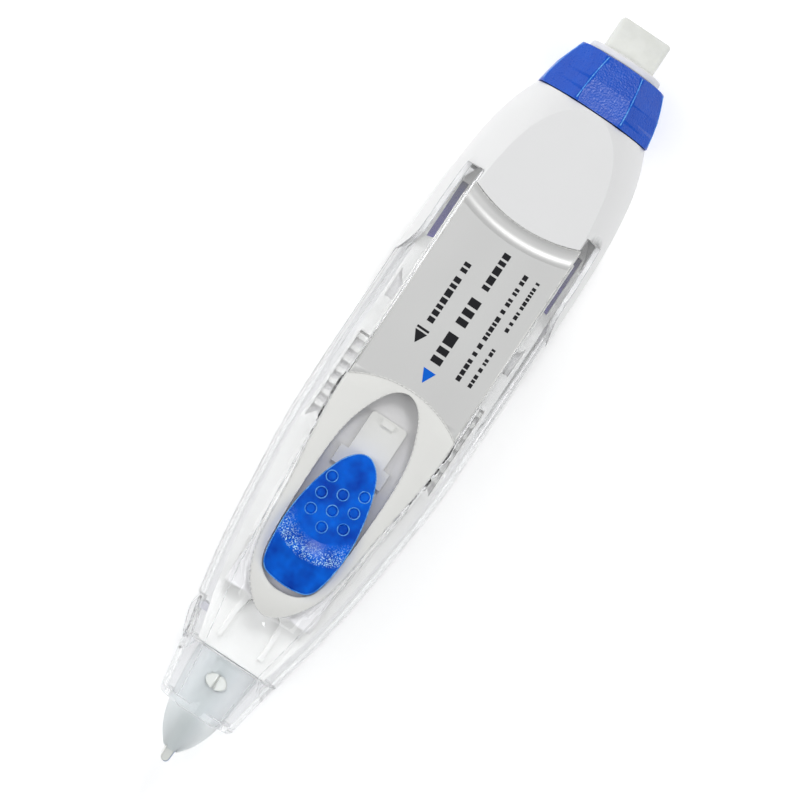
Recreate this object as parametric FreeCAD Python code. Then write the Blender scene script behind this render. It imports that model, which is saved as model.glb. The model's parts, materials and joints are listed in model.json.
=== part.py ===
import FreeCAD, Part
import math
import os

# Correction tape pen with a twist-out eraser at its tail. All sizes are in millimetres.
# X runs from the tape tip (-) to the eraser (+), Y across the pen, Z up through the label side.
# Shapes are drawn about the pen's mid-plane and lifted by HALF_THICK when they are written,
# so that the flat underside lies on Z = 0.

# ---- driving dimensions ----
LENGTH = 140.0
TIP_X = -LENGTH / 2
TAIL_X = LENGTH / 2
HALF_WIDTH = 14.4
HALF_THICK = 10.4
SIDE_WALL = 1.0
FLAT_WALL = 1.2
SEAM = 0.1

# casing: stations along X and the half-width in plan
MOUTH_X = -60.9
MOUTH_CORNER = 0.8
MOUTH_HALF = 7.0
FRONT_OUTLINE = [(-60.1, MOUTH_HALF), (-50.5, 8.8), (-44.0, 10.2), (-33.0, 12.1), (-22.0, 13.35),
                 (-4.0, HALF_WIDTH)]
REAR_OUTLINE = [(20.0, HALF_WIDTH), (34.0, 14.2), (42.7, 13.5), (49.8, 11.95), (53.8, 10.35)]
# casing: stations along X and the half-thickness from the side
THICK_OUTLINE = [(-60.9, 5.6), (-50.5, 7.2), (-44.3, 8.0), (-33.0, 9.0), (-21.6, 9.75),
                 (0.0, HALF_THICK)]
COLLAR_SPLIT_X = -50.5
REAR_SPLIT_X = 34.5
REAR_END_X = REAR_OUTLINE[-1][0]
END_WALL = 1.0
TAB_END_X = 36.7
TAB_INNER = 9.8
TAB_OUTER = 12.9
ARM_FRONT_X = 19.0
ARM_HALF = 6.0
LABEL_HALF = 9.95
LABEL_BOW = 2.0
RAIL_LOW = 6.8
RAIL_TOP = 7.4
BEZEL_REAR_X = -2.0
BEZEL_REAR_HALF = 10.2
BEZEL_BOW = 3.1

# tape cartridge: heights above the mid-plane
BASE_LOW = -6.4
BASE_TOP = -5.2
NOSE_PLATE_LOW = -4.6
NOSE_PLATE_TOP = -3.4
GEAR_LOW = -4.8
GEAR_TOP = -3.2
TAPE_HALF = 2.5
COVER_LOW = 2.9
COVER_TOP = 3.7
COVER_HALF = 12.2
TRAY_LOW = 6.2
TRAY_TOP = 6.9
PLATE_LOW = 7.1
PLATE_TOP = 7.8
SKIRT_LOW = 8.1

# gear train
MODULE = 0.7
SUPPLY_TEETH = 30
IDLER_TEETH = 21
TAKE_UP_TEETH = 16
BACKLASH = 0.12
PRESSURE_ANGLE = math.radians(20)
SUPPLY_X = 29.0
IDLER_X = SUPPLY_X - MODULE * (SUPPLY_TEETH + IDLER_TEETH) / 2
TAKE_UP_X = IDLER_X - MODULE * (IDLER_TEETH + TAKE_UP_TEETH) / 2
POST_RADIUS = 2.0
IDLER_POST_RADIUS = 1.5
RUNNING_GAP = 0.05
ROLL_RADIUS = 11.8
CORE_RADIUS = 7.0
CLUTCH_OUTER = 5.5
CLUTCH_INNER = 4.5
TAKE_UP_CORE = 4.4
LINER_RADIUS = 6.2

# eraser drive
SCREW_PITCH = 10.0
PIN_X = 59.9
PIN_RADIUS = 0.9
FEED_BACK = 6.0
FEED_OUT = 1.0
ERASER_WIDTH = 9.1
ERASER_DEPTH = 5.2
BORE_GAP = 0.1
TUBE_RADIUS = 5.9
SLEEVE_INNER = 6.0
SLEEVE_OUTER = 6.9
SLEEVE_START_X = 51.8
SLEEVE_END_X = 62.9
BULKHEAD_X = 50.8
BULKHEAD_THICK = 0.7
RING_X = 63.2
RING_END_X = 64.3
RING_RADIUS = 6.5
CARRIER_X = 58.4
ERASER_X = 61.6
SPIKE_LENGTH = 3.0


# ---- helpers ----
def at(x, y, z=0.0):
    return FreeCAD.Vector(x, y, z)


def block(x0, x1, y0, y1, z0, z1):
    return Part.makeBox(x1 - x0, y1 - y0, z1 - z0, at(x0, y0, z0))


def post(x, y, radius, z0, z1):
    return Part.makeCylinder(radius, z1 - z0, at(x, y, z0), at(0, 0, 1))


def rod(x0, x1, radius):
    return Part.makeCylinder(radius, x1 - x0, at(x0, 0, 0), at(1, 0, 0))


def ring(x, inner, outer, z0, z1):
    return post(x, 0, outer, z0, z1).cut(post(x, 0, inner, z0 - 1, z1 + 1))


def line(a, b):
    return Part.LineSegment(a, b).toShape()


def arc(a, b, c):
    return Part.Arc(a, b, c).toShape()


def spline(points, start, end):
    curve = Part.BSplineCurve()
    curve.interpolate(Points=points, InitialTangent=start, FinalTangent=end)
    return curve.toShape()


def symmetric_curve(side, closed=False):
    """Smooth curve through the points of one side, from the middle line, and their mirror."""
    inner = side[1:-1] if closed else side[1:]
    opposite = [at(p.x, -p.y) for p in reversed(inner)]
    curve = Part.BSplineCurve()
    if closed:
        curve.interpolate(Points=side + opposite, PeriodicFlag=True)
    else:
        curve.interpolate(Points=opposite + side)
    return curve.toShape()


def prism(edges, z0, z1):
    face = Part.Face(Part.Wire(Part.__sortEdges__(edges)))
    solid = face.extrude(at(0, 0, z1 - z0))
    solid.translate(at(0, 0, z0))
    return solid


def mirrored(shape):
    return shape.mirror(at(0, 0, 0), at(0, 1, 0))


def both_sides(shape):
    return shape.fuse(mirrored(shape))


def slab(x0, x1):
    return block(x0, x1, -20, 20, -20, 20)


# ---- casing envelope ----
def plan_solid(inset):
    """The casing's plan outline turned about the X axis."""
    front = [at(x, w - inset) for x, w in FRONT_OUTLINE]
    rear = [at(x, w - inset) for x, w in REAR_OUTLINE]
    low = at(MOUTH_X, front[0].y - MOUTH_CORNER)
    bend = MOUTH_CORNER * (1 - math.sqrt(0.5))
    edges = [
        line(at(MOUTH_X, 0), low),
        arc(low, at(MOUTH_X + bend, front[0].y - bend), front[0]),
        spline(front, at(1, 0.16), at(1, 0)),
        line(front[-1], rear[0]),
        spline(rear, at(1, 0), at(1, -0.45)),
        line(rear[-1], at(REAR_END_X, 0)),
        line(at(REAR_END_X, 0), at(MOUTH_X, 0)),
    ]
    face = Part.Face(Part.Wire(edges))
    return face.revolve(at(0, 0, 0), at(1, 0, 0), 360)


def side_solid(inset):
    """The casing seen from the side, run across the pen."""
    top = [at(x, 0, h - inset) for x, h in THICK_OUTLINE]
    upper = spline(top, at(1, 0, 0.16), at(1, 0, 0))
    lower = upper.mirror(at(0, 0, 0), at(0, 0, 1))
    tail = top[-1].z
    edges = [
        upper,
        line(top[-1], at(REAR_END_X, 0, tail)),
        line(at(REAR_END_X, 0, tail), at(REAR_END_X, 0, -tail)),
        line(at(REAR_END_X, 0, -tail), at(top[-1].x, 0, -tail)),
        lower,
        line(at(MOUTH_X, 0, -top[0].z), at(MOUTH_X, 0, top[0].z)),
    ]
    face = Part.Face(Part.Wire(Part.__sortEdges__(edges)))
    solid = face.extrude(at(0, 40, 0))
    solid.translate(at(0, -20, 0))
    return solid


def casing_outer():
    return plan_solid(0).common(side_solid(0))


def casing_inner():
    space = plan_solid(SIDE_WALL).common(side_solid(FLAT_WALL))
    return space.common(slab(MOUTH_X + FLAT_WALL, REAR_END_X - END_WALL))


# ---- outlines in plan ----
def bezel_outline(grow):
    rear = at(BEZEL_REAR_X, BEZEL_REAR_HALF + grow)
    side = [at(-41.3 - grow, 0), at(-38.2, 4.4 + grow), at(-33.0, 6.9 + grow),
            at(-22.0, 8.3 + grow), at(-11.5, 9.7 + grow), rear]
    bow = arc(rear, at(BEZEL_REAR_X + BEZEL_BOW + grow, 0), at(rear.x, -rear.y))
    return [symmetric_curve(side), bow]


def label_prism(grow):
    """Label panel: its front edge follows the bezel, its rear edge bows forwards."""
    half = BEZEL_REAR_HALF
    front_x = BEZEL_REAR_X + SEAM - grow
    rear_x = REAR_SPLIT_X - SEAM + grow
    edges = [
        arc(at(front_x, -half), at(front_x + BEZEL_BOW, 0), at(front_x, half)),
        line(at(front_x, half), at(rear_x, half)),
        arc(at(rear_x, half), at(rear_x - LABEL_BOW, 0), at(rear_x, -half)),
        line(at(rear_x, -half), at(front_x, -half)),
    ]
    return prism(edges, 0, 20).common(block(-20, 40, -LABEL_HALF - grow, LABEL_HALF + grow, 0, 20))


def teardrop(front, rear, half, shape):
    """Closed curve; shape lists length and width fractions of one side."""
    length = rear - front
    side = [at(front + s * length, t * half) for s, t in shape]
    return [symmetric_curve(side, True)]


def recess_outline(grow):
    shape = [(0, 0), (0.014, 0.42), (0.055, 0.72), (0.17, 0.92), (0.42, 1.0), (0.66, 0.99),
             (0.79, 0.88), (0.89, 0.67), (0.955, 0.45), (0.988, 0.235), (1, 0)]
    return teardrop(-36.8 - grow, 0.45 + grow, 6.35 + grow, shape)


def button_outline(front, rear, half):
    shape = [(0, 0), (0.008, 0.40), (0.035, 0.70), (0.11, 0.87), (0.24, 0.965), (0.37, 1.0),
             (0.50, 0.975), (0.63, 0.89), (0.75, 0.77), (0.86, 0.61), (0.95, 0.38), (1, 0)]
    return teardrop(front, rear, half, shape)


def cartridge_outline(front_x, front_half, side, tail):
    """Flat nose, sides through the given points, straight to the reel, then a rounded tail."""
    points = [at(front_x, front_half)] + [at(x, y) for x, y in side]
    edge = spline(points, at(1, 0.27), at(1, 0))
    reel = at(SUPPLY_X, points[-1].y)
    tail_points = [reel] + [at(x, y) for x, y in tail]
    opposite = [at(p.x, -p.y) for p in reversed(tail_points[:-1])]
    curve = spline(tail_points + opposite, at(1, 0), at(-1, 0))
    return [
        line(at(front_x, -front_half), at(front_x, front_half)),
        edge,
        mirrored(edge),
        line(points[-1], reel),
        line(at(points[-1].x, -reel.y), at(reel.x, -reel.y)),
        curve,
    ]


# ---- casing parts ----
def rear_region(grow):
    """Space that the rear body takes: tail, bowed front edge, side arms, less the shell tabs."""
    region = block(REAR_SPLIT_X - grow, REAR_END_X, -20, 20, -20, 20)
    tab = block(REAR_SPLIT_X - 1, TAB_END_X - grow, TAB_INNER + grow, TAB_OUTER - grow,
                ARM_HALF + grow, 20)
    tab = both_sides(tab)
    region = region.cut(tab).cut(tab.mirror(at(0, 0, 0), at(0, 0, 1)))
    half = LABEL_HALF - SEAM + grow
    start = REAR_SPLIT_X - grow
    bow = prism([arc(at(start, half), at(start - LABEL_BOW, 0), at(start, -half)),
                 line(at(start, -half), at(start, half))], -20, 20)
    arm = block(ARM_FRONT_X + ARM_HALF, REAR_SPLIT_X, -20, 20, -ARM_HALF - grow, ARM_HALF + grow)
    nose = Part.makeCylinder(ARM_HALF + grow, 40, at(ARM_FRONT_X + ARM_HALF, -20, 0), at(0, 1, 0))
    return region.fuse([bow, arm, nose])


def snap_arm():
    """Springy tongue at the +Y side of the nose collar with a thumb bump."""
    edges = [
        line(at(-51.6, 7.95), at(-51.6, 8.4)),
        arc(at(-51.6, 8.4), at(-48.6, 9.55), at(-46.4, 10.1)),
        line(at(-46.4, 10.1), at(-44.5, 9.7)),
        line(at(-44.5, 9.7), at(-44.5, 8.9)),
        line(at(-44.5, 8.9), at(-51.6, 7.95)),
    ]
    return prism(edges, -2.4, 2.4)


def nose_collar(shell):
    collar = shell.common(slab(MOUTH_X - 1, COLLAR_SPLIT_X - SEAM))
    mouth = Part.Wire(Part.Ellipse(at(0, 0), 5.05, 4.8).toShape())
    hole = Part.Face(mouth).extrude(at(0, 0, 4))
    hole.rotate(at(0, 0, 0), at(0, 0, 1), 90)
    hole.rotate(at(0, 0, 0), at(0, 1, 0), 90)
    hole.translate(at(MOUTH_X - 1, 0, 0))
    gusset_edges = [
        line(at(-50.6, 5.95), at(-50.6, 7.9)),
        line(at(-50.6, 7.9), at(-54.0, 7.3)),
        line(at(-54.0, 7.3), at(-50.6, 5.95)),
    ]
    gussets = both_sides(prism(gusset_edges, -2.5, 2.5))
    return collar.cut(hole).fuse([snap_arm(), gussets])


def front_shell(shell):
    front = shell.common(slab(COLLAR_SPLIT_X, TAB_END_X - SEAM)).cut(rear_region(SEAM))
    notch = block(COLLAR_SPLIT_X - 1, -44.3, 7.0, 14, -2.6, 2.6)
    return front.cut(notch)


def upper_front_shell(front):
    half = front.common(block(-80, 80, -20, 20, SEAM / 2, 20))
    opening = prism(bezel_outline(SEAM), 0, 20)
    opening = opening.fuse(prism(bezel_outline(0), 0, 20))
    return half.cut(opening).cut(label_prism(SEAM))


def lower_front_shell(front):
    half = front.common(block(-80, 80, -20, 20, -20, -SEAM / 2))
    rail = block(-30, 32, 7.0, 8.0, -HALF_THICK + 0.6, BASE_LOW - 0.15)
    return half.fuse(both_sides(rail).common(casing_outer()))


def latch_pin():
    return block(-46.2, -45.0, 7.1, 8.5, -2.5, 2.5)


def bezel(outer, shell):
    hole = prism(recess_outline(0), 0, 20)
    outline = prism(bezel_outline(0), 0, 20)
    plate = shell.common(outline).cut(hole)
    skirt = prism(recess_outline(0.8), SKIRT_LOW, 20).common(outer).common(outline).cut(hole)
    pass_under = block(-5, 4, -3.7, 3.7, SKIRT_LOW - 1, HALF_THICK - FLAT_WALL)
    return plate.fuse(skirt.cut(pass_under))


def label_plate(shell):
    """Printed panel with a shallow groove along its bowed rear edge and a rail down each side."""
    plate = shell.common(label_prism(0))
    web = block(1.5, 32.0, 8.9, 9.5, RAIL_LOW, HALF_THICK - FLAT_WALL / 2)
    rail = block(1.5, 32.0, 8.9, 10.3, RAIL_LOW, RAIL_TOP)
    plate = plate.fuse(both_sides(web.fuse(rail)))
    bow_radius = (BEZEL_REAR_HALF ** 2 + LABEL_BOW ** 2) / (2 * LABEL_BOW)
    rear_x = REAR_SPLIT_X - SEAM - LABEL_BOW
    groove_radius = 3.0
    centre = at(rear_x + bow_radius, 0, HALF_THICK + groove_radius - 0.75)
    groove = Part.makeTorus(bow_radius + 1.35, groove_radius, centre)
    return plate.cut(groove)


def slide_tray(inner):
    """Grey floor under the button, hung from the bezel by two side walls."""
    floor = block(-40, 8, -7.9, 7.9, TRAY_LOW, TRAY_TOP).common(inner)
    slot = block(-25.4, -6.0, -1.7, 1.7, TRAY_LOW - 1, TRAY_TOP + 1)
    wall = both_sides(block(-30, -3, 7.3, 7.9, TRAY_TOP, 20)).common(inner)
    return floor.cut(slot).fuse(wall)


def rear_body(shell):
    body = shell.common(rear_region(0))
    bore = rod(REAR_END_X - END_WALL - 1, REAR_END_X + 1, SLEEVE_OUTER + 0.1)
    return body.cut(bore)


def tube_bulkhead(inner):
    plate = inner.common(slab(BULKHEAD_X, BULKHEAD_X + BULKHEAD_THICK))
    return plate.cut(rod(BULKHEAD_X - 1, BULKHEAD_X + 2, TUBE_RADIUS))


def eraser_guide_tube():
    tube = rod(BULKHEAD_X, RING_X, TUBE_RADIUS)
    flange = rod(BULKHEAD_X + BULKHEAD_THICK, SLEEVE_START_X - 0.2, TUBE_RADIUS + 1.2)
    end_ring = rod(RING_X, RING_END_X, RING_RADIUS)
    bore = block(BULKHEAD_X - 1, TAIL_X, -ERASER_WIDTH / 2 - BORE_GAP, ERASER_WIDTH / 2 + BORE_GAP,
                 -ERASER_DEPTH / 2 - BORE_GAP, ERASER_DEPTH / 2 + BORE_GAP)
    bore = rounded_along_x(bore, 0.7)
    slot_start = PIN_X - FEED_BACK - PIN_RADIUS - 0.2
    slot_end = PIN_X + FEED_OUT + PIN_RADIUS + 0.2
    slot = block(slot_start, slot_end, -PIN_RADIUS - 0.1, PIN_RADIUS + 0.1, -7, 7)
    rim = [edge for edge in end_ring.Edges if abs(edge.BoundBox.XMin - RING_END_X) < 1e-6]
    end_ring = end_ring.makeFillet(0.3, rim)
    return tube.fuse([flange, end_ring]).cut(bore).cut(slot)


def rounded_along_x(box, radius):
    edges = [edge for edge in box.Edges if edge.BoundBox.XLength > 1]
    return box.makeFillet(radius, edges)


# ---- tape cartridge ----
def cartridge_base():
    side = [(-33.0, 8.6), (-22.0, 10.1), (-12.0, 11.0)]
    tail = [(SUPPLY_X + 3.0, 10.55), (SUPPLY_X + 6.0, 9.2), (SUPPLY_X + 9.5, 5.5), (SUPPLY_X + 11.0, 0)]
    rear = prism(cartridge_outline(-38.0, 7.5, side, tail), BASE_LOW, BASE_TOP)
    front_edges = [
        line(at(-50.4, -5.9), at(-50.4, 5.9)),
        line(at(-50.4, 5.9), at(-37.0, 7.5)),
        line(at(-37.0, 7.5), at(-37.0, -7.5)),
        line(at(-37.0, -7.5), at(-50.4, -5.9)),
    ]
    front = prism(front_edges, NOSE_PLATE_LOW, NOSE_PLATE_TOP)
    step = block(-38.0, -37.0, -7.5, 7.5, BASE_LOW, NOSE_PLATE_TOP)
    cheeks = both_sides(block(-50.4, -44.0, 4.6, 5.9, NOSE_PLATE_TOP, COVER_LOW))
    solids = [front, step, cheeks]
    for x, radius in [(SUPPLY_X, POST_RADIUS), (IDLER_X, IDLER_POST_RADIUS), (TAKE_UP_X, POST_RADIUS)]:
        solids.append(post(x, 0, radius, BASE_TOP, COVER_LOW))
        solids.append(post(x, 0, radius + 1.0, BASE_TOP, GEAR_LOW - 0.1))
    for x, y in [(-13.0, 10.0), (-34.0, 7.2)]:
        solids.append(both_sides(post(x, y, 0.9, BASE_TOP, COVER_LOW)))
    solids.append(both_sides(post(-42.0, 1.6, 0.7, NOSE_PLATE_TOP, COVER_LOW)))
    return rear.fuse(solids).removeSplitter()


def cover_window(x0, x1, y0, y1, slant):
    """Slot beside the label; a positive slant narrows its front end, a negative one its rear."""
    front = at(x0 + max(slant, 0), y0)
    rear = at(x1 + min(slant, 0), y0)
    edges = [
        line(at(x0, y1), at(x1, y1)),
        line(at(x1, y1), rear),
        line(rear, front),
        line(front, at(x0, y1)),
    ]
    return both_sides(prism(edges, COVER_LOW - 1, COVER_TOP + 1))


def cartridge_cover():
    side = [(-40.0, 8.7), (-33.0, 9.9), (-22.0, 11.3), (-12.0, COVER_HALF)]
    tail = [(SUPPLY_X + 3.0, 11.9), (SUPPLY_X + 6.2, 11.2), (SUPPLY_X + 10.3, 8.2), (SUPPLY_X + 12.2, 0)]
    plate = prism(cartridge_outline(-50.4, 6.1, side, tail), COVER_LOW, COVER_TOP)
    windows = [(-11.3, 4.9, 10.2, 11.7, 2.0), (11.6, 16.8, 10.3, 11.7, -2.4),
               (SUPPLY_X - 5.8, SUPPLY_X + 4.7, 10.3, 11.4, 0.3)]
    for window in windows:
        plate = plate.cut(cover_window(*window))
    skirt = both_sides(block(-15.0, 13.0, 11.75, COVER_HALF - 0.05, -2.6, COVER_LOW))
    bar_pitch = 2.1
    bar_count = 7
    bars = []
    for i in range(bar_count):
        x = -9.0 + i * bar_pitch
        bars.append(both_sides(block(x, x + 0.9, 10.0, 11.8, COVER_LOW - 0.6, COVER_LOW + 0.3)))
    ribs = both_sides(block(-48.0, -16.0, 3.4, 4.2, COVER_TOP, COVER_TOP + 0.8))
    return plate.fuse([skirt, ribs] + bars).removeSplitter()


def slider_plate():
    """T-shaped plate under the button, with the stem that pushes the cartridge."""
    tongue = block(-33.0, -4.6, -3.3, 3.3, PLATE_LOW, PLATE_TOP)
    corners = [edge for edge in tongue.Edges if edge.BoundBox.XMin > -5 and edge.BoundBox.YLength < 1]
    tongue = tongue.makeFillet(0.7, [edge for edge in corners if edge.BoundBox.ZLength > 0.5])
    wings = block(-14.9, -11.8, -4.6, 4.6, PLATE_LOW, PLATE_TOP)
    lug = block(-5.9, -4.9, -1.1, 1.1, PLATE_TOP, PLATE_TOP + 0.6)
    stem = block(-24.8, -16.0, -1.4, 1.4, COVER_TOP, PLATE_LOW)
    return tongue.fuse([wings, lug, stem]).removeSplitter()


def slider_button():
    """Thumb button: sloped front, a curved crest, and a scoop with nine ring dimples behind it."""
    blank = prism(button_outline(-35.6, -11.25, 5.85), PLATE_TOP, 20)
    crest = 11.2
    floor = 10.3
    crown = [at(-36.5, -10, 8.6), at(-35.0, -10, 9.45), at(-33.2, -10, 10.0),
             at(-31.6, -10, 10.45), at(-30.1, -10, 11.05), at(-28.6, -10, crest),
             at(-10.0, -10, crest)]
    edges = [
        spline(crown, at(1, 0, 0.8), at(1, 0, 0)),
        line(crown[-1], at(-10, -10, 6)),
        line(at(-10, -10, 6), at(-36.5, -10, 6)),
        line(at(-36.5, -10, 6), crown[0]),
    ]
    body = Part.Face(Part.Wire(edges)).extrude(at(0, 20, 0)).common(blank)
    crest_radius = 8.8
    slope = 3.2 / (crest - floor)
    depth = 2.0
    centre_x = -30.1 + crest_radius
    floor_radius = crest_radius - slope * (crest - floor)
    scoop = Part.makeCone(floor_radius, floor_radius + slope * depth, depth,
                          at(centre_x, 0, floor), at(0, 0, 1))
    scoop = scoop.fuse(block(centre_x, 0, -10, 10, floor, floor + depth))
    body = body.cut(scoop)
    pitch = 3.05
    for first_x, y in [(-24.6, 0.0), (-23.05, -3.08), (-23.05, 3.08)]:
        for i in range(3):
            body = body.cut(Part.makeTorus(0.78, 0.16, at(first_x + pitch * i, y, floor)))
    return body


def cone_blank():
    stations = [(-67.8, 1.35, 3.1), (-66.6, 2.35, 3.4), (-64.5, 3.55, 3.8), (-61.0, 4.6, 4.3),
                (-56.0, 5.15, 4.7), (-50.5, 5.5, 5.0)]
    angles = [math.radians(15 * k) for k in range(24)]
    wires = []
    for x, half_y, half_z in stations:
        points = [at(x, half_y * math.cos(a), half_z * math.sin(a)) for a in angles]
        curve = Part.BSplineCurve()
        curve.interpolate(Points=points, PeriodicFlag=True)
        wires.append(Part.Wire(curve.toShape()))
    return Part.makeLoft(wires, True)


def wedge(x0, half0, x1, half1, half_z):
    edges = [
        line(at(x0, -half0), at(x0, half0)),
        line(at(x0, half0), at(x1, half1)),
        line(at(x1, half1), at(x1, -half1)),
        line(at(x1, -half1), at(x0, -half0)),
    ]
    return prism(edges, -half_z, half_z)


def cone_boss(z0, z1):
    edge = Part.Ellipse(at(0, 0), 1.75, 1.2).toShape()
    solid = Part.Face(Part.Wire(edge)).extrude(at(0, 0, z1 - z0))
    solid.rotate(at(0, 0, 0), at(0, 0, 1), 90)
    solid.translate(at(-54.55, 0, z0))
    return solid


def nose_cone():
    cone = cone_blank()
    slot = wedge(-69.0, 0.85, -50.0, 2.7, TAPE_HALF + 0.2)
    spigot = both_sides(block(-50.5, -46.0, 2.8, 4.4, NOSE_PLATE_TOP, COVER_LOW))
    return cone.cut(slot).cut(cone_boss(TAPE_HALF, 9)).fuse(spigot)


def cone_pin():
    boss = cone_boss(TAPE_HALF + 0.2, 5.0)
    groove = block(-58, -51, -0.25, 0.25, 4.6, 6)
    return boss.cut(groove)


def blade_outline(grow):
    rear_half = 1.3 + grow
    tip_half = 0.6 + grow
    tip_x = TIP_X + 0.76
    return [
        line(at(-56.0, -rear_half), at(tip_x, -tip_half)),
        arc(at(tip_x, -tip_half), at(tip_x - tip_half, 0), at(tip_x, tip_half)),
        line(at(tip_x, tip_half), at(-56.0, rear_half)),
        line(at(-56.0, rear_half), at(-56.0, -rear_half)),
    ]


def head_blade():
    blade = prism(blade_outline(0), -TAPE_HALF, TAPE_HALF)
    root = block(-56.0, -51.0, -1.3, 1.3, -TAPE_HALF - 0.1, TAPE_HALF + 0.1)
    return blade.fuse(root)


def ribbon(reel_x, radius, side):
    """Half the turn round the tip, and the straight run to the tangent point of a reel."""
    loop = prism(blade_outline(0.16), -TAPE_HALF, TAPE_HALF)
    loop = loop.cut(prism(blade_outline(0.04), -9, 9))
    loop = loop.common(block(-80, -56.02, 0, 5, -9, 9))
    start_x = -56.04
    start_y = 1.4
    distance = math.hypot(reel_x - start_x, start_y)
    angle = math.asin(radius / distance) - math.atan2(start_y, reel_x - start_x)
    length = math.sqrt(distance ** 2 - radius ** 2)
    run = block(0, length, -0.06, 0.06, -TAPE_HALF, TAPE_HALF)
    run.rotate(at(0, 0, 0), at(0, 0, 1), math.degrees(angle))
    run.translate(at(start_x, start_y, 0))
    band = loop.fuse(run)
    return band if side > 0 else mirrored(band)


# ---- reels ----
def tooth_half_angle(radius, teeth):
    """Half the angle that an involute tooth fills at a radius."""
    pitch_radius = MODULE * teeth / 2
    base_radius = pitch_radius * math.cos(PRESSURE_ANGLE)
    at_pitch = math.pi / (2 * teeth) - BACKLASH / (2 * pitch_radius)
    pressure = math.acos(base_radius / max(radius, base_radius))
    involute = math.tan(pressure) - pressure
    return at_pitch + math.tan(PRESSURE_ANGLE) - PRESSURE_ANGLE - involute


def gear(x, teeth, first_tooth):
    """Spur gear standing on GEAR_LOW; first_tooth is the angle of one tooth in degrees."""
    pitch_radius = MODULE * teeth / 2
    root = pitch_radius - 1.1 * MODULE
    tip = pitch_radius + 0.8 * MODULE
    points = []
    for k in range(teeth):
        middle = math.radians(first_tooth) + 2 * math.pi * k / teeth
        flank = [(r, tooth_half_angle(r, teeth)) for r in (root, pitch_radius, tip)]
        for r, half in flank:
            points.append(at(x + r * math.cos(middle - half), r * math.sin(middle - half)))
        for r, half in reversed(flank):
            points.append(at(x + r * math.cos(middle + half), r * math.sin(middle + half)))
    wire = Part.makePolygon(points + points[:1])
    return prism(wire.Edges, GEAR_LOW, GEAR_TOP)


def supply_gear():
    disc = gear(SUPPLY_X, SUPPLY_TEETH, 180)
    boss = post(SUPPLY_X, 0, CLUTCH_INNER, GEAR_TOP, TAPE_HALF)
    seat = post(SUPPLY_X, 0, CORE_RADIUS, GEAR_TOP, -TAPE_HALF - 0.1)
    bore = post(SUPPLY_X, 0, POST_RADIUS + RUNNING_GAP, -9, 9)
    return disc.fuse([boss, seat]).cut(bore)


def idler_gear():
    disc = gear(IDLER_X, IDLER_TEETH, 180)
    boss = post(IDLER_X, 0, 3.2, GEAR_TOP, 0.5)
    bore = post(IDLER_X, 0, IDLER_POST_RADIUS + RUNNING_GAP, -9, 9)
    return disc.fuse(boss).cut(bore)


def take_up_reel():
    half_tooth = 180 / TAKE_UP_TEETH
    disc = gear(TAKE_UP_X, TAKE_UP_TEETH, half_tooth)
    core = post(TAKE_UP_X, 0, TAKE_UP_CORE, GEAR_TOP, TAPE_HALF + 0.2)
    bore = post(TAKE_UP_X, 0, POST_RADIUS + RUNNING_GAP, -9, 9)
    return disc.fuse(core).cut(bore)


# ---- eraser end ----
def twist_collar():
    """Eight-sided tapered collar; its corners are cut back a little by a turned profile."""
    stations = [(54.0, 10.2), (58.5, 9.35), (63.0, 7.7)]
    corner = 1 / math.cos(math.radians(22.5))
    wires = []
    for x, apothem in stations:
        points = []
        for k in range(9):
            turn = math.radians(22.5 + 45 * k)
            points.append(at(x, apothem * corner * math.sin(turn), apothem * corner * math.cos(turn)))
        wires.append(Part.makePolygon(points))
    prism_body = Part.makeLoft(wires, True, True)
    edges = [
        line(at(54.0, 0), at(54.0, 10.85)),
        arc(at(54.0, 10.85), at(58.5, 9.95), at(62.6, 8.3)),
        arc(at(62.6, 8.3), at(62.88, 8.05), at(63.0, 7.6)),
        line(at(63.0, 7.6), at(63.0, 0)),
        line(at(63.0, 0), at(54.0, 0)),
    ]
    turned = Part.Face(Part.Wire(edges)).revolve(at(0, 0, 0), at(1, 0, 0), 360)
    body = prism_body.common(turned)
    return body.cut(rod(53, 64, SLEEVE_OUTER))


def helical_slot(start_angle):
    """Left-handed slot, so that turning the sleeve by the right hand moves the pins to +X."""
    start_x = PIN_X - FEED_BACK - 0.3
    height = FEED_BACK + FEED_OUT + 0.6
    middle = (SLEEVE_INNER + SLEEVE_OUTER) / 2
    spine = Part.makeHelix(SCREW_PITCH, height, middle, 0, True)
    axial = PIN_RADIUS + 0.25
    depth = 1.2
    corners = [at(middle - depth, 0, -axial), at(middle + depth, 0, -axial),
               at(middle + depth, 0, axial), at(middle - depth, 0, axial)]
    profile = Part.makePolygon(corners + corners[:1])
    slot = Part.Wire(spine.Edges).makePipeShell([profile], True, True)
    slot.rotate(at(0, 0, 0), at(0, 0, 1), start_angle + 360 * (PIN_X - start_x) / SCREW_PITCH)
    slot.rotate(at(0, 0, 0), at(0, 1, 0), 90)
    slot.translate(at(start_x, 0, 0))
    return slot


def screw_sleeve():
    tube = rod(SLEEVE_START_X, SLEEVE_END_X, SLEEVE_OUTER)
    lip = rod(SLEEVE_START_X, SLEEVE_START_X + 0.8, SLEEVE_OUTER + 0.9)
    sleeve = tube.fuse(lip).cut(rod(SLEEVE_START_X - 1, SLEEVE_END_X + 1, SLEEVE_INNER))
    return sleeve.cut(helical_slot(0)).cut(helical_slot(180))


def eraser_carrier():
    body = block(CARRIER_X, ERASER_X, -ERASER_WIDTH / 2, ERASER_WIDTH / 2,
                 -ERASER_DEPTH / 2, ERASER_DEPTH / 2)
    body = rounded_along_x(body, 0.8)
    pins = post(PIN_X, 0, PIN_RADIUS, -SLEEVE_OUTER + 0.15, SLEEVE_OUTER - 0.15)
    spike = rod(ERASER_X, ERASER_X + SPIKE_LENGTH, 1.0)
    return body.fuse([pins, spike])


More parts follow.
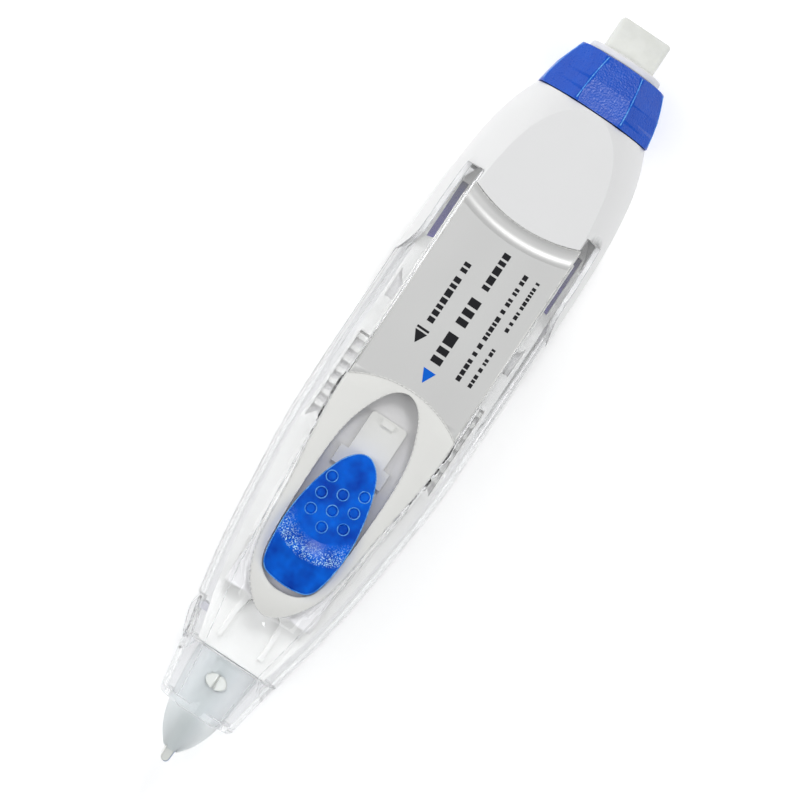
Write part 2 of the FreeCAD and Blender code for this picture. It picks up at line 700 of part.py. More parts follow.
def eraser():
    body = block(ERASER_X, TAIL_X, -ERASER_WIDTH / 2, ERASER_WIDTH / 2,
                 -ERASER_DEPTH / 2, ERASER_DEPTH / 2)
    body = rounded_along_x(body, 0.8)
    rim = [edge for edge in body.Edges if edge.BoundBox.XMin > TAIL_X - 0.01]
    body = body.makeFillet(0.5, rim)
    return body.cut(rod(ERASER_X - 1, ERASER_X + SPIKE_LENGTH, 1.0))


# ---- assembly ----
def build():
    outer = casing_outer()
    inner = casing_inner()
    shell = outer.cut(inner)
    front = front_shell(shell)
    return {
        "upper_front_shell": upper_front_shell(front),
        "lower_front_shell": lower_front_shell(front),
        "nose_collar": nose_collar(shell),
        "latch_pin": latch_pin(),
        "bezel": bezel(outer, shell),
        "label_plate": label_plate(shell),
        "slide_tray": slide_tray(inner),
        "rear_body": rear_body(shell),
        "tube_bulkhead": tube_bulkhead(inner),
        "eraser_guide_tube": eraser_guide_tube(),
        "cartridge_base": cartridge_base(),
        "cartridge_cover": cartridge_cover(),
        "slider_plate": slider_plate(),
        "slider_button": slider_button(),
        "nose_cone": nose_cone(),
        "cone_pin": cone_pin(),
        "head_blade": head_blade(),
        "tape_run": ribbon(SUPPLY_X, ROLL_RADIUS + 0.15, 1),
        "return_run": ribbon(TAKE_UP_X, LINER_RADIUS + 0.15, -1),
        "supply_gear": supply_gear(),
        "clutch_ring": ring(SUPPLY_X, CLUTCH_INNER, CLUTCH_OUTER, -TAPE_HALF, TAPE_HALF - 0.2),
        "supply_core": ring(SUPPLY_X, CLUTCH_OUTER, CORE_RADIUS, -TAPE_HALF, TAPE_HALF),
        "tape_roll": ring(SUPPLY_X, CORE_RADIUS, ROLL_RADIUS, -TAPE_HALF, TAPE_HALF),
        "idler_gear": idler_gear(),
        "take_up_reel": take_up_reel(),
        "liner_roll": ring(TAKE_UP_X, TAKE_UP_CORE, LINER_RADIUS, -TAPE_HALF, TAPE_HALF),
        "twist_collar": twist_collar(),
        "screw_sleeve": screw_sleeve(),
        "eraser_carrier": eraser_carrier(),
        "eraser": eraser(),
    }


os.makedirs("parts", exist_ok=True)
for name, shape in build().items():
    shape.translate(at(0, 0, HALF_THICK))
    solids = shape.Solids
    box = shape.BoundBox
    print(f"{name}: {len(solids)} solid(s), {shape.Volume:.1f} mm3, valid {shape.isValid()},"
          f" X {box.XMin:.2f}..{box.XMax:.2f} Y {box.YMin:.2f}..{box.YMax:.2f}"
          f" Z {box.ZMin:.2f}..{box.ZMax:.2f}")
    part = solids[0] if len(solids) == 1 else Part.makeCompound(solids)
    part.exportStep(f"parts/{name}.step")
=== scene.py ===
import json
import math
import random

import bmesh
import bpy
from mathutils import Matrix, Vector


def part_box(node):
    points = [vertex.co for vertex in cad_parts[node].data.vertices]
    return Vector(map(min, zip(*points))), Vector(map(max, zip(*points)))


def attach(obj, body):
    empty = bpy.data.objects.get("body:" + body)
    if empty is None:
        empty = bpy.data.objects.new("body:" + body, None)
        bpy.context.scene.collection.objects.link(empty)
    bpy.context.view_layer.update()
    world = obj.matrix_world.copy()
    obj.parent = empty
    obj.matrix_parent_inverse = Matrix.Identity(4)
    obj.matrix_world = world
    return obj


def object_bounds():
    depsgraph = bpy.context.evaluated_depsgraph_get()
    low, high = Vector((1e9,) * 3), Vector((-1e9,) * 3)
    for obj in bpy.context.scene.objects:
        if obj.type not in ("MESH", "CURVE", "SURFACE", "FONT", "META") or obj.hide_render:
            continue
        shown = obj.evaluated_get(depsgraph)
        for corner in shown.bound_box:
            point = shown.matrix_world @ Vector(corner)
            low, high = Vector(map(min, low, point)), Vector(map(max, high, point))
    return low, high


# Looks of a correction tape pen with a twist-out eraser. Lengths are in metres, in the frame of
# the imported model; MM turns millimetres into metres.
MM = 0.001

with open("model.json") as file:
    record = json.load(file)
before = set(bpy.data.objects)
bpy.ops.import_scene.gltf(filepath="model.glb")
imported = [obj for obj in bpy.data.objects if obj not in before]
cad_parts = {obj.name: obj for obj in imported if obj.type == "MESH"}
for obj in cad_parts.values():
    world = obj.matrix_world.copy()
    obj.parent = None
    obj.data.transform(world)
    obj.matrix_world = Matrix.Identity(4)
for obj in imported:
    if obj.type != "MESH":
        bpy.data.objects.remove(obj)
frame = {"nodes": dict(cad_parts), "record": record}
cad_low, cad_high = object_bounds()
slot_of = {part["node"]: part["material_slot"] for part in frame["record"]["subparts"]}


# ---- material nodes ----
class Recipe:
    """A Principled material with short calls for the nodes that feed it."""

    def __init__(self, name, colour, roughness, sockets=None):
        self.material = bpy.data.materials.new(name)
        self.material.use_nodes = True
        self.nodes = self.material.node_tree.nodes
        self.links = self.material.node_tree.links
        self.nodes.clear()
        self.output = self.nodes.new("ShaderNodeOutputMaterial")
        self.shader = self.nodes.new("ShaderNodeBsdfPrincipled")
        self.links.new(self.shader.outputs[0], self.output.inputs["Surface"])
        self.shader.inputs["Base Color"].default_value = (*colour, 1.0)
        self.shader.inputs["Roughness"].default_value = roughness
        for socket, value in (sockets or {}).items():
            self.shader.inputs[socket].default_value = value
        coordinates = self.nodes.new("ShaderNodeTexCoord")
        scale = self.nodes.new("ShaderNodeMapping")
        scale.inputs["Scale"].default_value = (1 / MM, 1 / MM, 1 / MM)
        self.links.new(coordinates.outputs["Object"], scale.inputs["Vector"])
        self.place = scale.outputs["Vector"]

    def stretched(self, factors, turn=(0, 0, 0)):
        """The place in millimetres, turned and then scaled along each axis."""
        node = self.nodes.new("ShaderNodeMapping")
        node.inputs["Scale"].default_value = factors
        node.inputs["Rotation"].default_value = turn
        self.links.new(self.place, node.inputs["Vector"])
        return node.outputs["Vector"]

    def noise(self, size, detail=2.0, place=None):
        """Noise from 0 to 1 whose blotches are about size millimetres."""
        node = self.nodes.new("ShaderNodeTexNoise")
        node.inputs["Scale"].default_value = 1 / size
        node.inputs["Detail"].default_value = detail
        self.links.new(place or self.place, node.inputs["Vector"])
        return node.outputs["Fac"]

    def cells(self, size, place=None):
        """Distance to the nearest of scattered points about size millimetres apart."""
        node = self.nodes.new("ShaderNodeTexVoronoi")
        node.inputs["Scale"].default_value = 1 / size
        self.links.new(place or self.place, node.inputs["Vector"])
        return node.outputs["Distance"]

    def spread(self, value, low, high, to_low=0.0, to_high=1.0):
        node = self.nodes.new("ShaderNodeMapRange")
        for socket, number in zip(("From Min", "From Max", "To Min", "To Max"),
                                  (low, high, to_low, to_high)):
            node.inputs[socket].default_value = number
        self.links.new(value, node.inputs["Value"])
        return node.outputs["Result"]

    def maths(self, operation, a, b):
        node = self.nodes.new("ShaderNodeMath")
        node.operation = operation
        for socket, value in zip(node.inputs, (a, b)):
            if isinstance(value, (int, float)):
                socket.default_value = value
            else:
                self.links.new(value, socket)
        return node.outputs[0]

    def axis(self, letter):
        node = self.nodes.new("ShaderNodeSeparateXYZ")
        self.links.new(self.place, node.inputs[0])
        return node.outputs[letter]

    def distance_from(self, x, y):
        """Distance in millimetres, seen from above, from the point x, y in metres."""
        shift = self.nodes.new("ShaderNodeVectorMath")
        shift.operation = "SUBTRACT"
        shift.inputs[1].default_value = (x / MM, y / MM, 0)
        self.links.new(self.stretched((1, 1, 0)), shift.inputs[0])
        length = self.nodes.new("ShaderNodeVectorMath")
        length.operation = "LENGTH"
        self.links.new(shift.outputs["Vector"], length.inputs[0])
        return length.outputs["Value"]

    def grazing(self):
        """0 where the surface faces the eye, 1 where it is seen edge-on."""
        node = self.nodes.new("ShaderNodeLayerWeight")
        node.inputs["Blend"].default_value = 0.5
        return node.outputs["Facing"]

    def blend(self, factor, low, high):
        """A colour between low and high; either is a tuple or the output of another blend."""
        node = self.nodes.new("ShaderNodeMix")
        node.data_type = "RGBA"
        self.links.new(factor, node.inputs["Factor"])
        for socket, colour in ((node.inputs[6], low), (node.inputs[7], high)):
            if isinstance(colour, tuple):
                socket.default_value = (*colour, 1.0)
            else:
                self.links.new(colour, socket)
        return node.outputs[2]

    def paint(self, output):
        self.links.new(output, self.shader.inputs["Base Color"])

    def gloss(self, value, low, high):
        """Roughness between low and high."""
        self.links.new(self.spread(value, 0.3, 0.7, low, high), self.shader.inputs["Roughness"])

    def relief(self, heights):
        """Bump from pairs of height output and depth in millimetres."""
        previous = None
        for height, depth in heights:
            node = self.nodes.new("ShaderNodeBump")
            node.inputs["Distance"].default_value = depth * MM
            self.links.new(height, node.inputs["Height"])
            if previous is not None:
                self.links.new(previous, node.inputs["Normal"])
            previous = node.outputs["Normal"]
        self.links.new(previous, self.shader.inputs["Normal"])

    def let_lamps_through(self, colour):
        """Shadow rays pass the surface, tinted by colour, so that what is behind it stays lit."""
        path = self.nodes.new("ShaderNodeLightPath")
        clear = self.nodes.new("ShaderNodeBsdfTransparent")
        clear.inputs["Color"].default_value = (*colour, 1.0)
        mix = self.nodes.new("ShaderNodeMixShader")
        self.links.new(path.outputs["Is Shadow Ray"], mix.inputs[0])
        self.links.new(self.shader.outputs[0], mix.inputs[1])
        self.links.new(clear.outputs[0], mix.inputs[2])
        self.links.new(mix.outputs[0], self.output.inputs["Surface"])


def shade(colour, factor):
    return tuple(min(1.0, c * factor) for c in colour)


def moulded(name, colour, roughness, grain, depth, mottle=0.03, sockets=None):
    """Moulded plastic: faint flow mottle, a fine grain of given size and depth, uneven gloss."""
    recipe = Recipe(name, colour, roughness, sockets)
    flow = recipe.noise(9.0, 3.0, recipe.stretched((0.45, 1.0, 1.0)))
    recipe.paint(recipe.blend(flow, shade(colour, 1 - mottle), shade(colour, 1 + mottle)))
    recipe.gloss(recipe.noise(2.5, 3.0), roughness * 0.88, roughness * 1.12)
    recipe.relief([(recipe.noise(grain, 3.0), depth), (recipe.noise(6.0, 1.0), depth * 4)])
    return recipe


def clear_shell():
    """Clear plastic with faint flow waves and rubbing marks, and a painted grey shade where it is seen
    edge-on.
    """
    tint, edge = (0.915, 0.918, 0.925), (0.64, 0.65, 0.67)
    recipe = Recipe("clear_shell", tint, 0.03, {
        "Transmission Weight": 1.0, "IOR": 1.18, "Coat Weight": 1.0, "Coat IOR": 1.49,
        "Coat Roughness": 0.03})
    # Painted shade: the tint turns to the darker edge grey where the surface is seen edge-on.
    recipe.paint(recipe.blend(recipe.spread(recipe.grazing(), 0.45, 0.95), tint, edge))
    rub = recipe.noise(0.5, 2.0, recipe.stretched((0.12, 1.0, 1.0), (0, 0, 0.35)))
    recipe.gloss(rub, 0.015, 0.07)
    recipe.relief([(recipe.noise(7.0, 1.0), 0.015), (rub, 0.0006)])
    recipe.let_lamps_through((0.975, 0.98, 0.985))
    return recipe.material


def frosted_cone():
    """Etched translucent plastic with a fine glitter, and a painted shadow band along its middle."""
    hazy, shaded = (0.91, 0.935, 0.945), (0.72, 0.75, 0.755)
    recipe = moulded("frosted_cone", hazy, 0.36, 0.12, 0.004, 0.05, {
        "Subsurface Weight": 0.4, "Subsurface Radius": (1.0, 1.0, 1.0),
        "Subsurface Scale": 1.2 * MM, "Transmission Weight": 0.45, "IOR": 1.25})
    # Painted shadow: the darker shaded colour in a band near Y = 0.6 mm, for the shade of the blade
    # carrier inside, turning to hazy away from it.
    side = recipe.maths("ABSOLUTE", recipe.maths("SUBTRACT", recipe.axis("Y"), 0.6), 0.0)
    recipe.paint(recipe.blend(recipe.spread(side, 0.8, 3.6), shaded, hazy))
    recipe.let_lamps_through((0.55, 0.58, 0.60))
    return recipe.material


def button_blue():
    """Deep blue translucent plastic, pebbled on the crescent band, with light-blue painted glints
    scattered over the band.
    """
    deep, light, glint_paint_colour = (0.0, 0.055, 0.46), (0.0, 0.155, 0.82), (0.52, 0.80, 1.0)
    front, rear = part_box("slider_button")
    crest_radius = 8.8
    from_crest_centre = 14.3 * MM
    recipe = Recipe("button_blue", deep, 0.16, {
        "Specular IOR Level": 0.22, "IOR": 1.5,
        "Subsurface Weight": 0.25, "Subsurface Scale": 0.6 * MM,
        "Subsurface Radius": (0.2, 0.5, 1.0)})
    reach = recipe.distance_from(front.x + from_crest_centre, 0)
    on_slope = recipe.maths("MULTIPLY", recipe.spread(reach, crest_radius - 3.2, crest_radius - 0.6),
                            recipe.spread(reach, crest_radius + 0.5, crest_radius))
    ahead = recipe.spread(recipe.axis("X"), front.x / MM + 12.0, front.x / MM + 9.5)
    band = recipe.maths("MULTIPLY", on_slope, ahead)
    grains = recipe.noise(0.20, 1.0)
    # Painted glints: light-blue grains on the crescent band, standing in for highlights on the
    # pebbles.
    painted_glints = recipe.maths("MULTIPLY", band, recipe.spread(grains, 0.52, 0.64))
    body = recipe.blend(recipe.spread(recipe.noise(3.2, 2.0), 0.3, 0.7), deep, light)
    recipe.paint(recipe.blend(painted_glints, body, glint_paint_colour))
    recipe.gloss(recipe.noise(1.2, 2.0), 0.13, 0.22)
    pebbled = recipe.maths("MULTIPLY", grains, band)
    recipe.relief([(pebbled, 0.014), (recipe.noise(0.22, 2.0), 0.004), (recipe.noise(5.0, 1.0), 0.02)])
    return recipe.material


def collar_blue():
    """Blue plastic with a pebbled moulding texture under a gloss."""
    deep, light = (0.0, 0.055, 0.45), (0.0, 0.095, 0.60)
    recipe = Recipe("collar_blue", deep, 0.34, {"Specular IOR Level": 0.36})
    pebbles = recipe.cells(0.34)
    recipe.paint(recipe.blend(recipe.noise(3.0, 2.0), deep, light))
    recipe.gloss(recipe.noise(0.6, 2.0), 0.25, 0.36)
    recipe.relief([(pebbles, 0.028), (recipe.noise(4.0, 1.0), 0.02)])
    return recipe.material


def label_silver():
    """Satin silver panel with a very fine metallic fleck."""
    dark, light = (0.58, 0.58, 0.575), (0.70, 0.70, 0.69)
    recipe = Recipe("label_silver", light, 0.42, {"Metallic": 0.35, "Specular IOR Level": 0.4})
    fleck = recipe.noise(0.09, 2.0)
    sweep = recipe.noise(14.0, 1.0, recipe.stretched((0.6, 1.0, 1.0)))
    recipe.paint(recipe.blend(recipe.maths("MULTIPLY_ADD", fleck, 0.35), dark, light))
    recipe.gloss(sweep, 0.36, 0.48)
    recipe.relief([(fleck, 0.002)])
    return recipe.material


def tape_wound():
    """Edge of the wound tape: fine rings of film, violet at one side, slate at the other."""
    low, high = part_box("tape_roll")
    violet, slate = (0.065, 0.04, 0.34), (0.018, 0.03, 0.08)
    recipe = Recipe("tape_wound", violet, 0.4)
    along = recipe.spread(recipe.axis("X"), low.x / MM + 5.0, high.x / MM - 4.0)
    rings = recipe.noise(0.35, 3.0, recipe.stretched((1.0, 1.0, 6.0)))
    recipe.paint(recipe.blend(along, violet, slate))
    recipe.gloss(rings, 0.3, 0.5)
    recipe.relief([(rings, 0.02)])
    return recipe.material


def eraser_vinyl():
    """Soft vinyl: dusty, a little uneven, with tiny pits and smudges."""
    clean, dusty = (0.78, 0.79, 0.755), (0.72, 0.73, 0.69)
    recipe = Recipe("eraser_vinyl", clean, 0.62, {
        "Subsurface Weight": 0.3, "Subsurface Scale": 0.8 * MM,
        "Subsurface Radius": (1.0, 1.0, 0.9)})
    smudge = recipe.spread(recipe.noise(2.4, 4.0), 0.45, 0.75)
    recipe.paint(recipe.blend(smudge, clean, dusty))
    recipe.gloss(recipe.noise(0.8, 3.0), 0.55, 0.7)
    recipe.relief([(recipe.noise(0.2, 3.0), 0.012), (recipe.noise(2.0, 2.0), 0.05)])
    return recipe.material


def clutch_rubber():
    recipe = moulded("clutch_rubber", (0.03, 0.03, 0.032), 0.8, 0.15, 0.02, 0.2)
    return recipe.material


def ink(name, colour):
    """Matt printing ink, a little uneven in cover and with a soft grain."""
    recipe = Recipe(name, colour, 0.5, {"Specular IOR Level": 0.12})
    recipe.paint(recipe.blend(recipe.noise(0.25, 3.0), colour, shade(colour, 1.5)))
    recipe.gloss(recipe.noise(0.6, 2.0), 0.42, 0.58)
    recipe.relief([(recipe.noise(0.08, 2.0), 0.002)])
    return recipe.material


def painted_highlight_blue():
    """Painted highlight: a lighter blue for beads along edges, standing in for edge highlights and
    light glowing through thin blue plastic.
    """
    dark, bright = (0.02, 0.22, 0.80), (0.16, 0.48, 0.96)
    recipe = Recipe("painted_highlight_blue", bright, 0.2, {"Specular IOR Level": 0.4})
    recipe.paint(recipe.blend(recipe.spread(recipe.noise(1.1, 2.0), 0.35, 0.65), dark, bright))
    recipe.gloss(recipe.noise(0.4, 2.0), 0.15, 0.3)
    recipe.relief([(recipe.noise(0.1, 2.0), 0.003)])
    return recipe.material


def painted_highlight_clear():
    """Painted highlight: grey to near-white for beads along clear plastic edges, standing in for the
    light an edge catches.
    """
    dull, bright = (0.80, 0.805, 0.82), (0.96, 0.96, 0.965)
    recipe = Recipe("painted_highlight_clear", bright, 0.12, {"Transmission Weight": 0.5, "IOR": 1.3})
    recipe.paint(recipe.blend(recipe.spread(recipe.noise(1.8, 2.0), 0.35, 0.65), dull, bright))
    recipe.gloss(recipe.noise(0.5, 2.0), 0.08, 0.2)
    recipe.relief([(recipe.noise(0.1, 2.0), 0.002)])
    recipe.let_lamps_through((0.9, 0.9, 0.9))
    return recipe.material


def make_materials():
    white_wall = {"Subsurface Weight": 0.15, "Subsurface Scale": 0.7 * MM,
                  "Subsurface Radius": (1.0, 1.0, 1.0)}
    plain = {
        "body_white": ((0.80, 0.80, 0.80), 0.38, 0.10, 0.002, 0.01, white_wall),
        "inner_white": ((0.79, 0.79, 0.775), 0.48, 0.12, 0.003, 0.02, white_wall),
        "bezel_white": ((0.80, 0.80, 0.775), 0.58, 0.09, 0.005, 0.015, white_wall),
        "tray_grey": ((0.76, 0.755, 0.76), 0.5, 0.12, 0.003, 0.03, None),
        "latch_grey": ((0.50, 0.50, 0.56), 0.45, 0.12, 0.004, 0.05, None),
        "gear_white": ((0.76, 0.79, 0.82), 0.42, 0.12, 0.003, 0.03, white_wall),
        "tape_white": ((0.84, 0.84, 0.82), 0.55, 0.08, 0.003, 0.03, None),
        "liner_blue": ((0.42, 0.50, 0.66), 0.3, 0.3, 0.004, 0.05, None),
        "tip_plastic": ((0.72, 0.74, 0.71), 0.38, 0.12, 0.003, 0.03, white_wall),
    }
    recipes = {name: moulded(name, *values[:5], sockets=values[5])
               for name, values in plain.items()}
    recipes["inner_white"].let_lamps_through((0.45, 0.45, 0.44))
    made = {name: recipe.material for name, recipe in recipes.items()}
    for recipe in (clear_shell, frosted_cone, button_blue, collar_blue, label_silver,
                   tape_wound, eraser_vinyl, clutch_rubber, painted_highlight_blue, painted_highlight_clear):
        made[recipe.__name__] = recipe()
    made["ink_black"] = ink("ink_black", (0.012, 0.012, 0.014))
    made["ink_blue"] = ink("ink_blue", (0.0, 0.10, 0.52))
    return made


# ---- CAD nodes ----
def dress(node, material, bevel):
    """Gives a CAD node its material and softens its sharp edges by bevel millimetres."""
    obj = frame["nodes"][node]
    for slot in obj.material_slots:
        slot.link = "OBJECT"
        slot.material = material
    weld = obj.modifiers.new("weld", "WELD")
    weld.merge_threshold = 0.001 * MM
    if bevel:
        rounding = obj.modifiers.new("rounding", "BEVEL")
        rounding.width = bevel * MM
        rounding.segments = 2
        rounding.limit_method = "ANGLE"
        rounding.angle_limit = math.radians(32)
        rounding.harden_normals = True


BEVELS = {"body_white": 0.12, "bezel_white": 0.12, "inner_white": 0.08, "label_silver": 0.06}
materials = make_materials()
for node in frame["nodes"]:
    slot_name = slot_of[node]
    look = {"cone_pin": "tip_plastic", "slider_plate": "bezel_white"}.get(node, slot_name)
    dress(node, materials[look], BEVELS.get(slot_name, 0))


# ---- added pieces ----
def add_piece(name, verts, faces, material, body):
    mesh = bpy.data.meshes.new(name)
    mesh.from_pydata(verts, [], faces)
    mesh.materials.append(material)
    for face in mesh.polygons:
        face.use_smooth = len(face.vertices) == 4 and "bead" in name
    piece = bpy.data.objects.new(name, mesh)
    bpy.context.scene.collection.objects.link(piece)
    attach(piece, body)
    return piece


def surface_height(node, x, y):
    """Height of the node's top surface over x, y."""
    above = Vector((x, y, 1.0))
    hit, place = frame["nodes"][node].ray_cast(above, Vector((0, 0, -1)))[:2]
    return place.z if hit else None


class Bars:
    """Vertices and faces of many small solids."""

    def __init__(self):
        self.verts = []
        self.faces = []

    def prism(self, outline, low, high):
        """A convex outline, anticlockwise from above, raised from low to high."""
        first, count = len(self.verts), len(outline)
        self.verts += [(x, y, low) for x, y in outline] + [(x, y, high) for x, y in outline]
        self.faces.append([first + i for i in reversed(range(count))])
        self.faces.append([first + count + i for i in range(count)])
        for i in range(count):
            j = (i + 1) % count
            self.faces.append([first + i, first + j, first + count + j, first + count + i])

    def tube(self, a, b, radius, sides=6):
        """A round bar from a to b, with closed ends."""
        along = (b - a).normalized()
        across = along.orthogonal().normalized()
        other = along.cross(across)
        first = len(self.verts)
        for end in (a, b):
            for i in range(sides):
                turn = math.tau * i / sides
                self.verts.append(end + radius * (math.cos(turn) * across + math.sin(turn) * other))
        self.faces.append([first + i for i in reversed(range(sides))])
        self.faces.append([first + sides + i for i in range(sides)])
        for i in range(sides):
            j = (i + 1) % sides
            self.faces.append([first + i, first + j, first + sides + j, first + sides + i])


def add_print():
    """Plain blocks where a label would carry its print: no letters and no mark."""
    black, blue = Bars(), Bars()
    low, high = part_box("label_plate")
    level = surface_height("label_plate", (low.x + high.x) / 2, 0)
    bottom, top = level - 0.01 * MM, level + 0.02 * MM
    choose = random.Random(7)

    def rectangle(bars, x0, x1, y0, y1):
        corners = [(x0, y0), (x1, y0), (x1, y1), (x0, y1)]
        bars.prism([(low.x + x * MM, y * MM) for x, y in corners], bottom, top)

    def row(start, end, base, height):
        x = start
        while x < end - 0.4 * height:
            width = min(height * choose.choice((0.6, 0.8, 1.1)), end - x)
            rectangle(black, x, x + width, base, base + height)
            x += width + height * choose.choice((0.3, 0.3, 0.3, 0.9))

    row(13.6, 26.2, 3.2, 1.15)
    row(8.6, 20.6, -1.5, 1.9)
    row(22.6, 29.9, -1.3, 1.25)
    row(8.3, 28.2, -5.4, 0.8)
    row(8.4, 15.8, -7.5, 0.65)
    row(18.9, 28.2, -7.5, 0.65)
    arrow = [(9.6, 4.0), (11.6, 2.9), (11.6, 5.1)]
    black.prism([(low.x + x * MM, y * MM) for x, y in arrow], bottom, top)
    rectangle(black, 11.9, 12.3, 2.9, 5.1)
    wedge = [(4.9, -0.55), (7.2, -1.7), (7.2, 0.6)]
    blue.prism([(low.x + x * MM, y * MM) for x, y in wedge], bottom, top)
    add_piece("label_print", black.verts, black.faces, materials["ink_black"], "casing")
    add_piece("label_arrow", blue.verts, blue.faces, materials["ink_blue"], "casing")


def add_edge_beads(name, node, keep, radius, material, body):
    """A thin bead along the node's sharp edges for which keep says yes."""
    shape = bmesh.new()
    shape.from_mesh(frame["nodes"][node].data)
    bmesh.ops.remove_doubles(shape, verts=shape.verts, dist=0.001 * MM)
    shape.normal_update()
    bars = Bars()
    for edge in shape.edges:
        if len(edge.link_faces) == 2 and keep(edge):
            bars.tube(edge.verts[0].co, edge.verts[1].co, radius)
    shape.free()
    return add_piece(name, bars.verts, bars.faces, material, body)


def add_button_beads():
    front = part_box("slider_button")[0].x
    rings = [Vector((front + (x + 3.05 * i) * MM, y * MM))
             for x, y in ((11.0, 0.0), (12.55, -3.08), (12.55, 3.08)) for i in range(3)]

    def on_rim(edge):
        middle = (edge.verts[0].co + edge.verts[1].co) / 2
        inside_ring = min((middle.xy - ring).length for ring in rings) < 0.8 * MM
        steep = edge.calc_face_angle() > math.radians(50)
        normals = sorted(face.normal.z for face in edge.link_faces)
        return steep and not inside_ring and normals[0] < 0.2 and normals[1] > 0.7

    # Painted highlight: a lighter blue bead along the button's rim.
    add_edge_beads("button_bead", "slider_button", on_rim, 0.095 * MM, materials["painted_highlight_blue"],
                   "tape_carriage")


def add_collar_beads():
    """A bead of painted-highlight blue down each of the eight corners between the collar's flats."""
    low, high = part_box("twist_collar")
    centre = (low + high) / 2
    collar = frame["nodes"]["twist_collar"]
    bars = Bars()
    for k in range(8):
        turn = math.radians(22.5 + 45 * k)
        outward = Vector((0, math.sin(turn), math.cos(turn)))
        places = []
        for i in range(13):
            x = low.x + (high.x - low.x) * (0.04 + 0.92 * i / 12)
            start = Vector((x, centre.y, centre.z)) + 20 * MM * outward
            hit, place = collar.ray_cast(start, -outward)[:2]
            if hit:
                places.append(place - 0.04 * MM * outward)
        for a, b in zip(places, places[1:]):
            bars.tube(a, b, 0.12 * MM)
    add_piece("collar_bead", bars.verts, bars.faces, materials["painted_highlight_blue"], "collar")


def add_clear_edges():
    """Painted highlight: beads of grey-white along the clear parts' sharp outer edges."""
    label_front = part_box("label_plate")[0].x

    def sharp(edge):
        middle = (edge.verts[0].co + edge.verts[1].co) / 2
        beside_label = middle.x > label_front and abs(middle.y) < 10.6 * MM
        return edge.calc_face_angle() > math.radians(40) and not beside_label

    for node in ("nose_collar", "upper_front_shell"):
        add_edge_beads(node + "_bead", node, sharp, 0.055 * MM, materials["painted_highlight_clear"],
                       "casing")


def add_pin_bead():
    def upper(edge):
        return (edge.calc_face_angle() > math.radians(40)
                and max(face.normal.z for face in edge.link_faces) > 0.7)

    # Painted highlight: a bead of the lighter tip plastic round the pin's top edge.
    add_edge_beads("cone_pin_bead", "cone_pin", upper, 0.09 * MM, materials["tip_plastic"],
                   "tape_carriage")


def add_window_backing():
    """Strips under the cover's side windows."""
    low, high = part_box("cartridge_base")
    level = low.z + 8.4 * MM
    bars = Bars()
    for x0, x1 in ((-11.6, 5.2), (11.4, 16.9)):
        for side in (-1, 1):
            y0, y1 = sorted((side * 10.0, side * 11.7))
            corners = [(x0, y0), (x1, y0), (x1, y1), (x0, y1)]
            bars.prism([(x * MM, y * MM) for x, y in corners], level, level + 0.3 * MM)
    add_piece("window_backing", bars.verts, bars.faces, materials["tray_grey"],
              "tape_carriage")


def add_panel_beads():
    """Rounded lips along the top edges of the bezel and the label."""
    def top_edge(edge):
        normals = sorted(face.normal.z for face in edge.link_faces)
        return edge.calc_face_angle() > math.radians(40) and normals[0] < 0.35 and normals[1] > 0.6

    add_edge_beads("bezel_bead", "bezel", top_edge, 0.065 * MM, materials["bezel_white"],
                   "casing")
    add_edge_beads("label_bead", "label_plate", top_edge, 0.11 * MM, materials["bezel_white"],
                   "casing")


def add_slit_shade_sheet():
    """Painted shade: a dark sheet in the tape's violet between the tape roll and the cover, put where
    the cover's rear slits look dark.
    """
    low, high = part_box("tape_roll")
    middle_x = (low.x + high.x) / 2
    bars = Bars()
    for side in (-1, 1):
        y0, y1 = sorted((side * 10.1 * MM, side * 11.6 * MM))
        x0, x1 = middle_x - 6.0 * MM, middle_x + 5.0 * MM
        bars.prism([(x0, y0), (x1, y0), (x1, y1), (x0, y1)],
                   high.z + 0.06 * MM, high.z + 0.30 * MM)
    add_piece("slit_shade_sheet", bars.verts, bars.faces, materials["tape_wound"],
              "tape_carriage")


bpy.context.view_layer.update()
add_print()
add_button_beads()
add_collar_beads()
add_clear_edges()
add_pin_bead()
add_window_backing()
add_panel_beads()
add_slit_shade_sheet()


# ---- stage ----
def add_floor():
    recipe = Recipe("floor_white", (0.93, 0.93, 0.93), 0.9)
    recipe.paint(recipe.blend(recipe.noise(60.0, 2.0), (0.92, 0.92, 0.92), (0.94, 0.94, 0.94)))
    recipe.shader.inputs["Emission Color"].default_value = (1.0, 1.0, 1.0, 1.0)
    recipe.shader.inputs["Emission Strength"].default_value = 0.28
    half = 3.0
    level = -0.05 * MM
    mesh = bpy.data.meshes.new("floor")
    corners = [(-half, -half, level), (half, -half, level), (half, half, level), (-half, half, level)]
    mesh.from_pydata(corners, [], [(0, 1, 2, 3)])
    mesh.materials.append(recipe.material)
    floor = bpy.data.objects.new("floor", mesh)
    bpy.context.scene.collection.objects.link(floor)


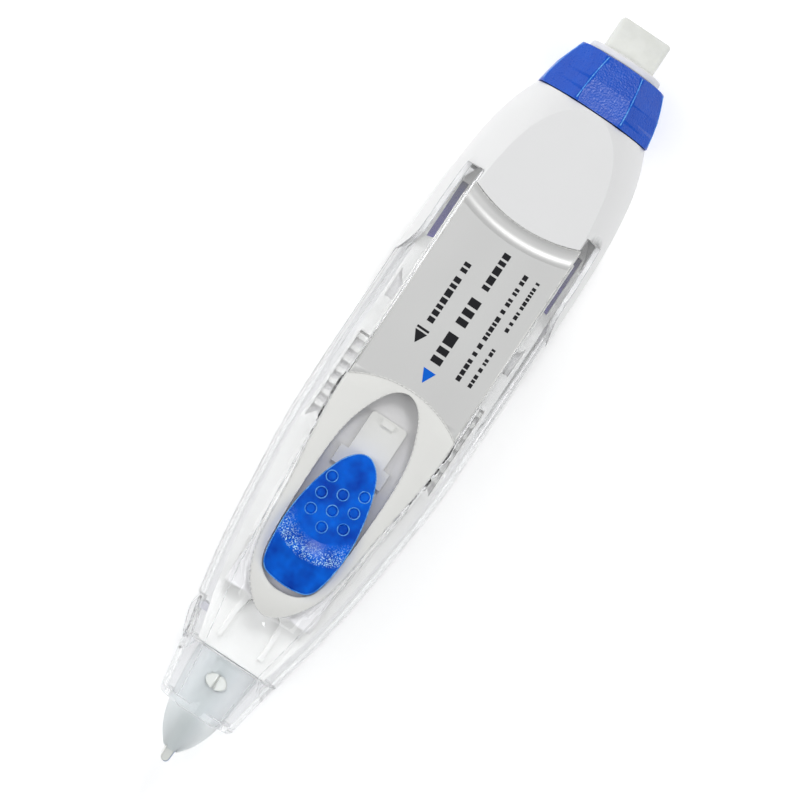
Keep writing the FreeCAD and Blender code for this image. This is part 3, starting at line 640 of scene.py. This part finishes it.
def aimed(obj, spot, target, up):
    """Places a camera or lamp at spot, looking at target with up upwards in its picture."""
    back = (spot - target).normalized()
    right = up.cross(back).normalized()
    up = back.cross(right)
    obj.matrix_world = Matrix.Translation(spot) @ Matrix((right, up, back)).transposed().to_4x4()


def add_lamp(name, spot, size, power, target):
    data = bpy.data.lights.new(name, "AREA")
    data.shape = "RECTANGLE"
    data.size, data.size_y = size
    data.energy = power
    lamp = bpy.data.objects.new(name, data)
    bpy.context.scene.collection.objects.link(lamp)
    aimed(lamp, Vector(spot), target, Vector((1, 0.01, 0)))


def add_light(centre):
    world = bpy.data.worlds.new("studio")
    bpy.context.scene.world = world
    world.use_nodes = True
    background = world.node_tree.nodes["Background"]
    background.inputs["Color"].default_value = (0.97, 0.985, 1.0, 1.0)
    background.inputs["Strength"].default_value = 0.31
    add_lamp("left_box", (0.0, 0.60, 0.30), (0.7, 0.4), 1.65, centre)
    add_lamp("right_box", (0.0, -0.55, 0.50), (0.6, 0.3), 1.45, centre)
    add_lamp("tail_strip", (0.42, 0.03, 0.66), (0.14, 0.13), 1.15, centre)
    add_lamp("tail_low_strip", (0.52, 0.03, 0.59), (0.10, 0.10), 0.35, centre)
    add_lamp("low_left_strip", (0.32, 0.62, 0.09), (0.25, 0.10), 0.15, centre)
    add_lamp("top_box", (-0.05, 0.30, 0.85), (0.5, 0.3), 1.15, centre)


def add_camera(centre):
    """Looks down on the label side, with the pen running up to the right in the picture."""
    slant = math.radians(56.3)
    tilt = math.radians(3.0)
    distance = 0.730
    data = bpy.data.cameras.new("camera")
    data.sensor_width = 36.0
    data.lens = 205.0
    data.clip_start = 0.05
    data.clip_end = 20.0
    camera = bpy.data.objects.new("camera", data)
    bpy.context.scene.collection.objects.link(camera)
    target = centre + Vector((-1.0 * MM, 0.3 * MM, 0))
    spot = target + distance * Vector((0, math.sin(tilt), math.cos(tilt)))
    aimed(camera, spot, target, Vector((math.sin(slant), math.cos(slant), 0)))
    bpy.context.scene.camera = camera


middle = (cad_low + cad_high) / 2
add_floor()
add_light(middle)
add_camera(middle)
bpy.context.scene.view_settings.view_transform = "Standard"
bpy.context.scene.cycles.max_bounces = 24
bpy.context.scene.cycles.transmission_bounces = 24
